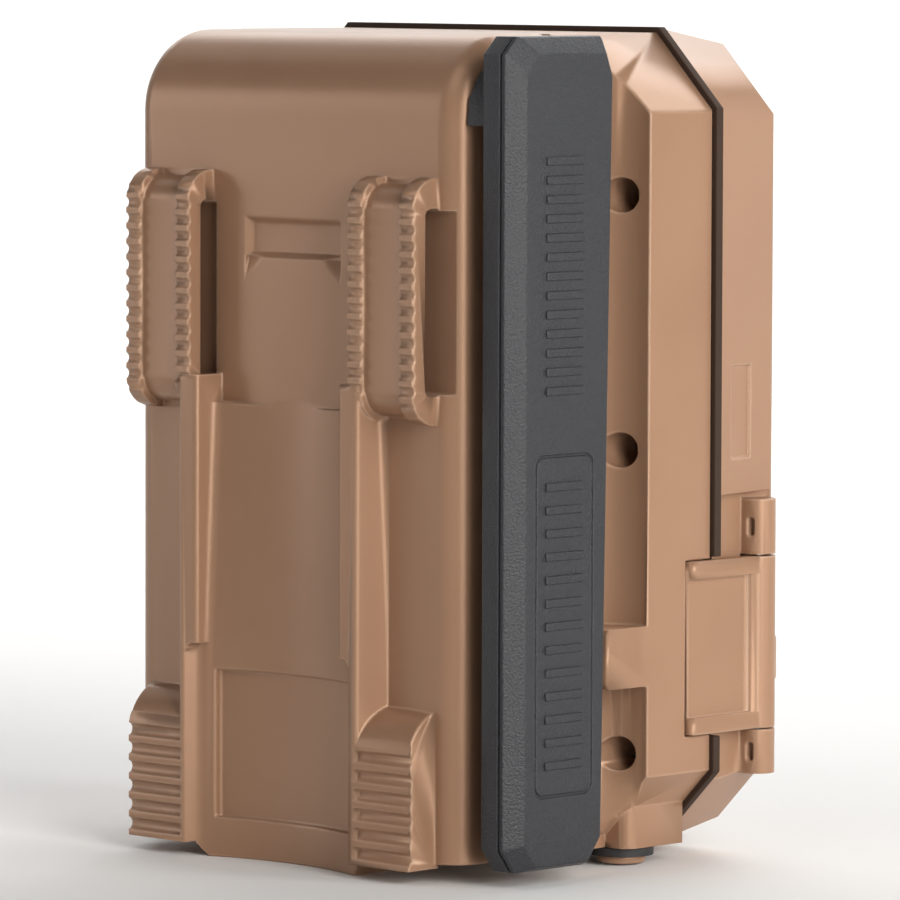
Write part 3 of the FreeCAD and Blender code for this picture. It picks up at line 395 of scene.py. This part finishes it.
# node: edge radius in millimetres, and the flattest edge in degrees that is rounded
rounded = {"rear_housing": (0.28, 32), "door_shell": (0.25, 32), "latch_plate": (0.2, 32),
           "antenna_outer_shell": (0.3, 13), "antenna_inner_shell": (0.25, 13),
           "antenna_knuckle": (0.3, 32), "front_bezel": (0.15, 32), "seal_gasket": (0.2, 32)}
rounding = {
    "segments": 2,
    "flatWithin": 1.0,      # degrees between faces that count as one
    "weld": 0.002 * mm,
    "shortEdge": 0.06 * mm,
    "passes": 14,
    "halvings": 6,          # passes that halve bad places; later ones leave them sharp
    "smallestShare": 0.13,
    "reach": 0.12,          # millimetres beyond the radius, round a bad place
    "stray": 1.1,           # radii
    "turnedOver": -0.3,
    "tinyArea": 1e-10,
    "smoothTo": 40,
    "weighting": 50,
}


def plainMesh(piece):
    # the piece's mesh with its modifiers applied
    bpy.context.view_layer.update()
    deps = bpy.context.evaluated_depsgraph_get()
    return bpy.data.meshes.new_from_object(piece.evaluated_get(deps))


def outOfShape(mesh, tree, radius, look):
    # points that strayed from the first shape, and corners of triangles that turned over
    bad = [v.co.copy() for v in mesh.vertices
           if tree.find_nearest(v.co)[3] > radius * look["stray"]]
    mesh.calc_loop_triangles()
    for triangle in mesh.loop_triangles:
        if triangle.area < look["tinyArea"]:
            continue
        corners = [mesh.vertices[i].co.copy() for i in triangle.vertices]
        middle = (corners[0] + corners[1] + corners[2]) / 3
        if tree.find_nearest(middle)[1].dot(triangle.normal) < look["turnedOver"]:
            bad.extend(corners)
    return bad


def smoothShaded(piece, mesh, sharpFrom):
    # smooth shading that keeps the large flat faces flat
    for face in mesh.polygons:
        face.use_smooth = True
    mesh.set_sharp_from_angle(angle=math.radians(sharpFrom))
    piece.data = mesh
    weighted = piece.modifiers.new("faces", "WEIGHTED_NORMAL")
    weighted.mode = "FACE_AREA"
    weighted.weight = rounding["weighting"]
    weighted.keep_sharp = True
    piece.data = plainMesh(piece)
    piece.modifiers.clear()


def roundedCopy(name, radius, flattest, look):
    # a copy of a CAD shell whose sharp edges are rounded; where the full radius does not fit, less
    source = nodes[name]
    tree = BVHTree.FromObject(source, bpy.context.evaluated_depsgraph_get())
    form = bmesh.new()
    form.from_mesh(source.data)
    bmesh.ops.remove_doubles(form, verts=form.verts, dist=look["weld"])
    bmesh.ops.dissolve_limit(form, angle_limit=math.radians(look["flatWithin"]),
                             verts=form.verts, edges=form.edges)
    bmesh.ops.remove_doubles(form, verts=form.verts, dist=look["shortEdge"])
    bmesh.ops.triangulate(form, faces=form.faces, quad_method="BEAUTY", ngon_method="BEAUTY")
    weight = form.edges.layers.float.new("bevel_weight_edge")
    for edge in form.edges:
        if len(edge.link_faces) == 2 and edge.calc_face_angle(0) > math.radians(flattest):
            edge[weight] = 1.0
    near = KDTree(len(form.verts))
    form.verts.ensure_lookup_table()
    for vert in form.verts:
        near.insert(vert.co, vert.index)
    near.balance()
    mesh = bpy.data.meshes.new(name + "Moulded")
    piece = linkedObject(name + "Moulded", mesh)
    bevel = piece.modifiers.new("edges", "BEVEL")
    bevel.width = radius * mm
    bevel.segments = look["segments"]
    bevel.limit_method = "WEIGHT"
    bevel.use_clamp_overlap = False
    bevel.loop_slide = False
    for turn in range(look["passes"]):
        form.to_mesh(mesh)
        smooth = plainMesh(piece)
        bad = outOfShape(smooth, tree, radius * mm, look)
        if not bad:
            break
        wider = max(1, turn + 1 - look["halvings"])
        reach = (radius + look["reach"] * wider) * mm
        touched = {edge for point in bad for _, index, _ in near.find_range(point, reach)
                   for edge in form.verts[index].link_edges}
        for edge in touched:
            halved = edge[weight] > look["smallestShare"] and turn < look["halvings"]
            edge[weight] = edge[weight] * 0.5 if halved else 0.0
    form.free()
    piece.modifiers.clear()
    smooth.materials.append(source.data.materials[0])
    smoothShaded(piece, smooth, look["smoothTo"])
    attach(piece, source["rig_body"])
    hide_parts(name)
    print("rounded", name, len(piece.data.polygons), "faces,", turn + 1, "passes,",
          len(bad), "corners left out of shape")


for name, (radius, flattest) in rounded.items():
    roundedCopy(name, radius, flattest, rounding)


dropFrom = 20.0 * mm        # how far before the surface the rays start
wireSides, ringSides = 8, 24


def growTree(name, inputs):
    # a Geometry Nodes tree with named inputs and a material
    tree = bpy.data.node_groups.new(name, "GeometryNodeTree")
    tree.interface.new_socket("Geometry", in_out="INPUT", socket_type="NodeSocketGeometry")
    for label, kind, value in inputs + [("Material", "NodeSocketMaterial", None)]:
        socket = tree.interface.new_socket(label, in_out="INPUT", socket_type=kind)
        if value is not None:
            socket.default_value = value
    tree.interface.new_socket("Geometry", in_out="OUTPUT", socket_type="NodeSocketGeometry")
    return tree, tree.nodes.new("NodeGroupInput"), tree.nodes.new("NodeGroupOutput")


def upright(tree, geometry, offset=None):
    # stands a flat shape up in the XZ plane, and moves it
    spot = add(tree, "GeometryNodeInputPosition")
    split = add(tree, "ShaderNodeSeparateXYZ")
    joined = add(tree, "ShaderNodeCombineXYZ")
    move = add(tree, "GeometryNodeSetPosition")
    tree.links.new(spot.outputs[0], split.inputs[0])
    tree.links.new(split.outputs["X"], joined.inputs["X"])
    tree.links.new(split.outputs["Y"], joined.inputs["Z"])
    tree.links.new(geometry, move.inputs["Geometry"])
    tree.links.new(joined.outputs[0], move.inputs["Position"])
    if offset is not None:
        tree.links.new(offset, move.inputs["Offset"])
    return move.outputs["Geometry"]


def gridPoints(tree, inputs):
    # an upright grid of points
    grid = add(tree, "GeometryNodeMeshGrid")
    ways = (("Across", "Pitch Across", "Size X", "Vertices X"),
            ("Up", "Pitch Up", "Size Y", "Vertices Y"))
    for count, pitch, size, vertices in ways:
        gaps = math2(tree, "SUBTRACT", inputs.outputs[count], 1.0)
        tree.links.new(math2(tree, "MULTIPLY", gaps, inputs.outputs[pitch]), grid.inputs[size])
        tree.links.new(inputs.outputs[count], grid.inputs[vertices])
    return upright(tree, grid.outputs["Mesh"], inputs.outputs["Centre"])


def ontoSurface(tree, inputs, geometry):
    # drops every point along the given direction onto the surface
    spot = add(tree, "GeometryNodeInputPosition")
    back = add(tree, "ShaderNodeVectorMath", operation="MULTIPLY_ADD")
    back.inputs[1].default_value = (-dropFrom, -dropFrom, -dropFrom)
    surface = add(tree, "GeometryNodeObjectInfo", transform_space="RELATIVE")
    ray = add(tree, "GeometryNodeRaycast")
    ray.inputs["Ray Length"].default_value = dropFrom * 3
    move = add(tree, "GeometryNodeSetPosition")
    tree.links.new(inputs.outputs["Direction"], back.inputs[0])
    tree.links.new(spot.outputs[0], back.inputs[2])
    tree.links.new(inputs.outputs["Surface"], surface.inputs["Object"])
    tree.links.new(surface.outputs["Geometry"], ray.inputs["Target Geometry"])
    tree.links.new(back.outputs[0], ray.inputs["Source Position"])
    tree.links.new(inputs.outputs["Direction"], ray.inputs["Ray Direction"])
    tree.links.new(geometry, move.inputs["Geometry"])
    tree.links.new(ray.outputs["Is Hit"], move.inputs["Selection"])
    tree.links.new(ray.outputs["Hit Position"], move.inputs["Position"])
    return move.outputs["Geometry"]


def wireAndFinish(tree, inputs, outputs, curves):
    # turns curves into round wire
    profile = add(tree, "GeometryNodeCurvePrimitiveCircle", {"Resolution": wireSides})
    tube = add(tree, "GeometryNodeCurveToMesh")
    tree.links.new(inputs.outputs["Wire Radius"], profile.inputs["Radius"])
    tree.links.new(curves, tube.inputs["Curve"])
    tree.links.new(profile.outputs[0], tube.inputs["Profile Curve"])
    finish(tree, inputs, outputs, tube.outputs["Mesh"])


def finish(tree, inputs, outputs, geometry):
    # makes instances real and gives them the material
    solid = add(tree, "GeometryNodeRealizeInstances")
    paint = add(tree, "GeometryNodeSetMaterial")
    tree.links.new(geometry, solid.inputs["Geometry"])
    tree.links.new(solid.outputs["Geometry"], paint.inputs["Geometry"])
    tree.links.new(inputs.outputs["Material"], paint.inputs["Material"])
    tree.links.new(paint.outputs["Geometry"], outputs.inputs["Geometry"])


gridInputs = [("Across", "NodeSocketInt", 1), ("Up", "NodeSocketInt", 1),
              ("Pitch Across", "NodeSocketFloat", 1.0 * mm),
              ("Pitch Up", "NodeSocketFloat", 1.0 * mm),
              ("Centre", "NodeSocketVector", (0.0, 0.0, 0.0))]
wireInputs = [("Wire Radius", "NodeSocketFloat", 0.1 * mm), ("Surface", "NodeSocketObject", None),
              ("Direction", "NodeSocketVector", (0.0, 1.0, 0.0))]


def ringTree():
    # rings of wire at the points of a grid, laid on a surface
    tree, inputs, outputs = growTree("ringGrid", gridInputs + wireInputs + [
        ("Ring Radius", "NodeSocketFloat", 1.0 * mm)])
    ring = add(tree, "GeometryNodeCurvePrimitiveCircle", {"Resolution": ringSides})
    spread = add(tree, "GeometryNodeInstanceOnPoints")
    real = add(tree, "GeometryNodeRealizeInstances")
    tree.links.new(inputs.outputs["Ring Radius"], ring.inputs["Radius"])
    tree.links.new(gridPoints(tree, inputs), spread.inputs["Points"])
    tree.links.new(upright(tree, ring.outputs[0]), spread.inputs["Instance"])
    tree.links.new(spread.outputs["Instances"], real.inputs["Geometry"])
    wireAndFinish(tree, inputs, outputs, ontoSurface(tree, inputs, real.outputs["Geometry"]))
    return tree


def latticeTree():
    # a lattice of wire laid on a surface
    tree, inputs, outputs = growTree("latticeGrid", gridInputs + wireInputs)
    lines = add(tree, "GeometryNodeMeshToCurve")
    laid = ontoSurface(tree, inputs, gridPoints(tree, inputs))
    tree.links.new(laid, lines.inputs["Mesh"])
    wireAndFinish(tree, inputs, outputs, lines.outputs["Curve"])
    return tree


def itemTree():
    # the piece's own mesh, repeated at the points of a grid
    tree, inputs, outputs = growTree("itemGrid", gridInputs)
    spread = add(tree, "GeometryNodeInstanceOnPoints")
    tree.links.new(gridPoints(tree, inputs), spread.inputs["Points"])
    tree.links.new(inputs.outputs["Geometry"], spread.inputs["Instance"])
    finish(tree, inputs, outputs, spread.outputs["Instances"])
    return tree


ringGrid, latticeGrid, itemGrid = ringTree(), latticeTree(), itemTree()


def grown(name, tree, values, slotName, item=None):
    # one plain mesh from a node tree
    holder = linkedObject(name, item or bpy.data.meshes.new(name))
    modifier = holder.modifiers.new("grow", "NODES")
    modifier.node_group = tree
    sockets = {socket.name: socket.identifier for socket in tree.interface.items_tree
               if socket.in_out == "INPUT"}
    for label, value in {**values, "Material": materials[slotName]}.items():
        modifier[sockets[label]] = value
    mesh = plainMesh(holder)
    bpy.data.objects.remove(holder)
    return mesh


grownSmoothTo = 45          # degrees


def joinedPiece(name, meshes, body, slotName):
    # meshes merged into one piece that rides on a body
    form = bmesh.new()
    for mesh in meshes:
        form.from_mesh(mesh)
    bmesh.ops.recalc_face_normals(form, faces=form.faces)
    mesh = bpy.data.meshes.new(name)
    form.to_mesh(mesh)
    form.free()
    mesh.materials.append(materials[slotName])
    piece = linkedObject(name, mesh)
    smoothShaded(piece, mesh, grownSmoothTo)
    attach(piece, body)
    print("piece", name, len(piece.data.polygons), "faces")


def barMesh(name, size, edge):
    # a bar with rounded edges, its middle at the origin
    form = bmesh.new()
    bmesh.ops.create_cube(form, size=1.0)
    for vert in form.verts:
        vert.co = Vector(a * b for a, b in zip(vert.co, size))
    bmesh.ops.bevel(form, geom=form.edges[:], offset=edge, segments=3, affect="EDGES", profile=0.5)
    mesh = bpy.data.meshes.new(name)
    form.to_mesh(mesh)
    form.free()
    return mesh


def boxOf(node):
    # lowest, highest and middle point
    low, high = (Vector(corner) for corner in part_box(node))
    return low, high, (low + high) / 2


# motion sensor lens: facets with rings in each
facets = {"across": 6, "up": 5, "pitchAcross": 4.6 * mm, "pitchUp": 5.0 * mm,
          "wire": 0.16 * mm, "rings": (0.7 * mm, 1.35 * mm, 2.0 * mm), "ringWire": 0.11 * mm}


def makeFacets(look):
    low, _, middle = boxOf("pir_lens")
    centre = (middle.x, low.y, middle.z)
    laid = {"Surface": nodes["pir_lens"], "Direction": (0.0, 1.0, 0.0), "Centre": centre,
            "Pitch Across": look["pitchAcross"], "Pitch Up": look["pitchUp"]}
    lines = {**laid, "Across": look["across"], "Up": look["up"], "Wire Radius": look["wire"]}
    meshes = [grown("facetLines", latticeGrid, lines, "fresnel_white")]
    for radius in look["rings"]:
        rings = {**laid, "Across": look["across"] - 1, "Up": look["up"] - 1,
                 "Ring Radius": radius, "Wire Radius": look["ringWire"]}
        meshes.append(grown("facetRings", ringGrid, rings, "fresnel_white"))
    joinedPiece("motionLensFacets", meshes, nodes["pir_lens"]["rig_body"], "fresnel_white")


makeFacets(facets)

# bright cups round the infrared lights
cups = {"across": 9, "up": 4, "pitchAcross": 5.4 * mm, "pitchUp": 5.2 * mm,
        "radius": 2.0 * mm, "wire": 0.3 * mm}


def makeCups(look):
    _, high, middle = boxOf("ir_leds")
    centre = (middle.x, high.y, middle.z)
    values = {"Surface": nodes["ir_led_board"], "Direction": (0.0, 1.0, 0.0), "Centre": centre,
              "Across": look["across"], "Up": look["up"], "Pitch Across": look["pitchAcross"],
              "Pitch Up": look["pitchUp"], "Ring Radius": look["radius"],
              "Wire Radius": look["wire"]}
    mesh = grown("cups", ringGrid, values, "contact_plate")
    joinedPiece("ledCups", [mesh], nodes["ir_leds"]["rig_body"], "contact_plate")


makeCups(cups)

# plain grip ribs on the antenna's outer face, in place of lettering
ribs = {"size": (0.7 * mm, 9.2 * mm, 1.5 * mm), "round": 0.3 * mm, "middleY": 19.3 * mm,
        "lowCount": 13, "lowMiddle": 43.9 * mm, "lowPitch": 3.9 * mm,
        "highCount": 13, "highMiddle": 102.5 * mm, "highPitch": 3.2 * mm}


def makeRibs(look):
    low = boxOf("antenna_outer_shell")[0]
    meshes = []
    for zone in ("low", "high"):
        values = {"Across": 1, "Up": look[zone + "Count"], "Pitch Up": look[zone + "Pitch"],
                  "Centre": (low.x, look["middleY"], look[zone + "Middle"])}
        item = barMesh("rib", look["size"], look["round"])
        meshes.append(grown(zone + "Ribs", itemGrid, values, "antenna_black", item))
    joinedPiece("antennaRibs", meshes, nodes["antenna_outer_shell"]["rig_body"], "antenna_black")


makeRibs(ribs)

# raised marks on the three buttons: a ring, three bars and a dot in a ring
marks = {"wire": 0.16 * mm, "ring": 1.9 * mm, "dot": 0.6 * mm, "bars": 3,
         "bar": (3.4 * mm, 0.3 * mm, 0.42 * mm), "barPitch": 1.15 * mm, "barRound": 0.12 * mm}


def makeMarks(look):
    for node in ("power_button", "menu_button", "ok_button"):
        _, high, middle = boxOf(node)
        face = (middle.x, high.y, middle.z)
        body = nodes[node]["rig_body"]
        meshes = []
        if node == "menu_button":
            item = barMesh("markBar", look["bar"], look["barRound"])
            values = {"Across": 1, "Up": look["bars"], "Pitch Up": look["barPitch"], "Centre": face}
            meshes.append(grown("bars", itemGrid, values, "front_black", item))
        else:
            radii = (look["ring"],) if node == "power_button" else (look["ring"], look["dot"])
            for radius in radii:
                values = {"Surface": nodes[node], "Direction": (0.0, -1.0, 0.0), "Centre": face,
                          "Across": 1, "Up": 1, "Ring Radius": radius, "Wire Radius": look["wire"]}
                meshes.append(grown("rings", ringGrid, values, "front_black"))
        joinedPiece(node.split("_")[0] + "Mark", meshes, body, "front_black")


makeMarks(marks)

studio = {
    "floorColour": shade(236, 235, 233),
    "floorShade": 0.98,     # of the paper's darker blotches
    "floorRough": 0.8,
    "floorGloss": 0.2,
    "grainScale": 400.0,
    "blotchScale": 3.0,
    "floorHalf": 2.2,
    "sideHalf": 3.0,
    "wallHigh": 2.4,
    "sweepRadius": 0.6,
    "sweepSteps": 12,
    "world": (0.90, 0.93, 1.0, 1.0),
    "worldStrength": 0.07,
    "panelAim": (0.0, 0.0, 0.07),
    "awayFromCamera": viewFrom["azimuth"] + 180,
}
# the light on the wall behind: distance from the middle and height of its place and its aim
wallWash = {"size": (2.5, 0.4), "watts": 37.0, "spot": (0.9, 1.5), "aim": (2.2, 0.5)}

# name: (degrees round from +X, degrees up, distance, width, height, watts, colour)
panels = {
    "keyPanel": (163, 12, 1.3, 0.62, 1.2, 20.0, (1.0, 0.99, 0.97)),
    "roundPanel": (196, 16, 1.5, 0.45, 1.1, 8.5, (1.0, 0.99, 0.98)),
    "sidePanel": (244, 12, 1.6, 0.6, 1.2, 3.2, (1.0, 1.0, 1.0)),
    "backPanel": (318, 30, 1.2, 1.0, 0.36, 2.0, (1.0, 1.0, 1.0)),
    "topPanel": (268, 46, 1.1, 0.6, 0.5, 1.0, (1.0, 1.0, 1.0)),
    "fillPanel": (96, 52, 1.5, 0.9, 0.7, 2.5, (1.0, 1.0, 1.0)),
    "frontPanel": (282, 40, 1.5, 0.9, 0.7, 6.0, (1.0, 1.0, 1.0)),
    "leftPanel": (36, 4, 1.5, 0.5, 1.0, 5.0, (0.98, 0.98, 1.0)),
}


def makeStage(look):
    # a paper floor that sweeps up into a wall behind the part
    half, side, radius = look["floorHalf"], look["sideHalf"], look["sweepRadius"]
    steps = look["sweepSteps"]
    profile = [(-half, 0.0), (half - radius, 0.0)]
    for step in range(1, steps + 1):
        turn = math.radians(90) * step / steps
        along = half - radius + radius * math.sin(turn)
        profile.append((along, radius * (1 - math.cos(turn))))
    profile.append((half, look["wallHigh"]))
    mesh = bpy.data.meshes.new("studioFloor")
    points = [(along, across, up) for along, up in profile for across in (-side, side)]
    faces = [(2 * i, 2 * i + 2, 2 * i + 3, 2 * i + 1) for i in range(len(profile) - 1)]
    mesh.from_pydata(points, [], faces)
    mesh.transform(Matrix.Rotation(math.radians(look["awayFromCamera"]), 4, "Z"))
    for face in mesh.polygons:
        face.use_smooth = True
    floor = linkedObject("studioFloor", mesh)
    material = bpy.data.materials.new("studioPaper")
    material.use_nodes = True
    tree = material.node_tree
    shader = tree.nodes["Principled BSDF"]
    grain = place(tree, mouldGrain, {"Grain Scale": look["grainScale"],
                                     "Blotch Scale": look["blotchScale"]})
    pale = look["floorColour"]
    darker = tuple(channel * look["floorShade"] for channel in pale[:3]) + (1.0,)
    tint = mixColour(tree, grain.outputs["Blotch"], pale, darker)
    tree.links.new(tint, shader.inputs["Base Color"])
    shader.inputs["Roughness"].default_value = look["floorRough"]
    shader.inputs["Specular IOR Level"].default_value = look["floorGloss"]
    mesh.materials.append(material)


def areaLight(name, size, watts, colour, spot, target):
    data = bpy.data.lights.new(name, "AREA")
    data.shape = "RECTANGLE"
    data.size, data.size_y = size
    data.energy = watts
    data.color = colour
    linkedObject(name, data).matrix_world = aimed(spot, target)


def makeLights(look, wash):
    target = Vector(look["panelAim"])
    for name, (turn, lift, distance, wide, high, watts, colour) in panels.items():
        spot = target + direction(turn, lift) * distance
        areaLight(name, (wide, high), watts, colour, spot, target)
    away = direction(look["awayFromCamera"], 0)
    spot, wall = (away * along + Vector((0, 0, up)) for along, up in (wash["spot"], wash["aim"]))
    areaLight("wallWash", wash["size"], wash["watts"], (1.0, 1.0, 1.0), spot, wall)
    world = bpy.data.worlds.new("studio")
    world.use_nodes = True
    background = world.node_tree.nodes["Background"]
    background.inputs["Color"].default_value = look["world"]
    background.inputs["Strength"].default_value = look["worldStrength"]
    bpy.context.scene.world = world


makeStage(studio)
makeLights(studio, wallWash)
bpy.context.scene.view_settings.view_transform = "Standard"
print("stage and lights done")
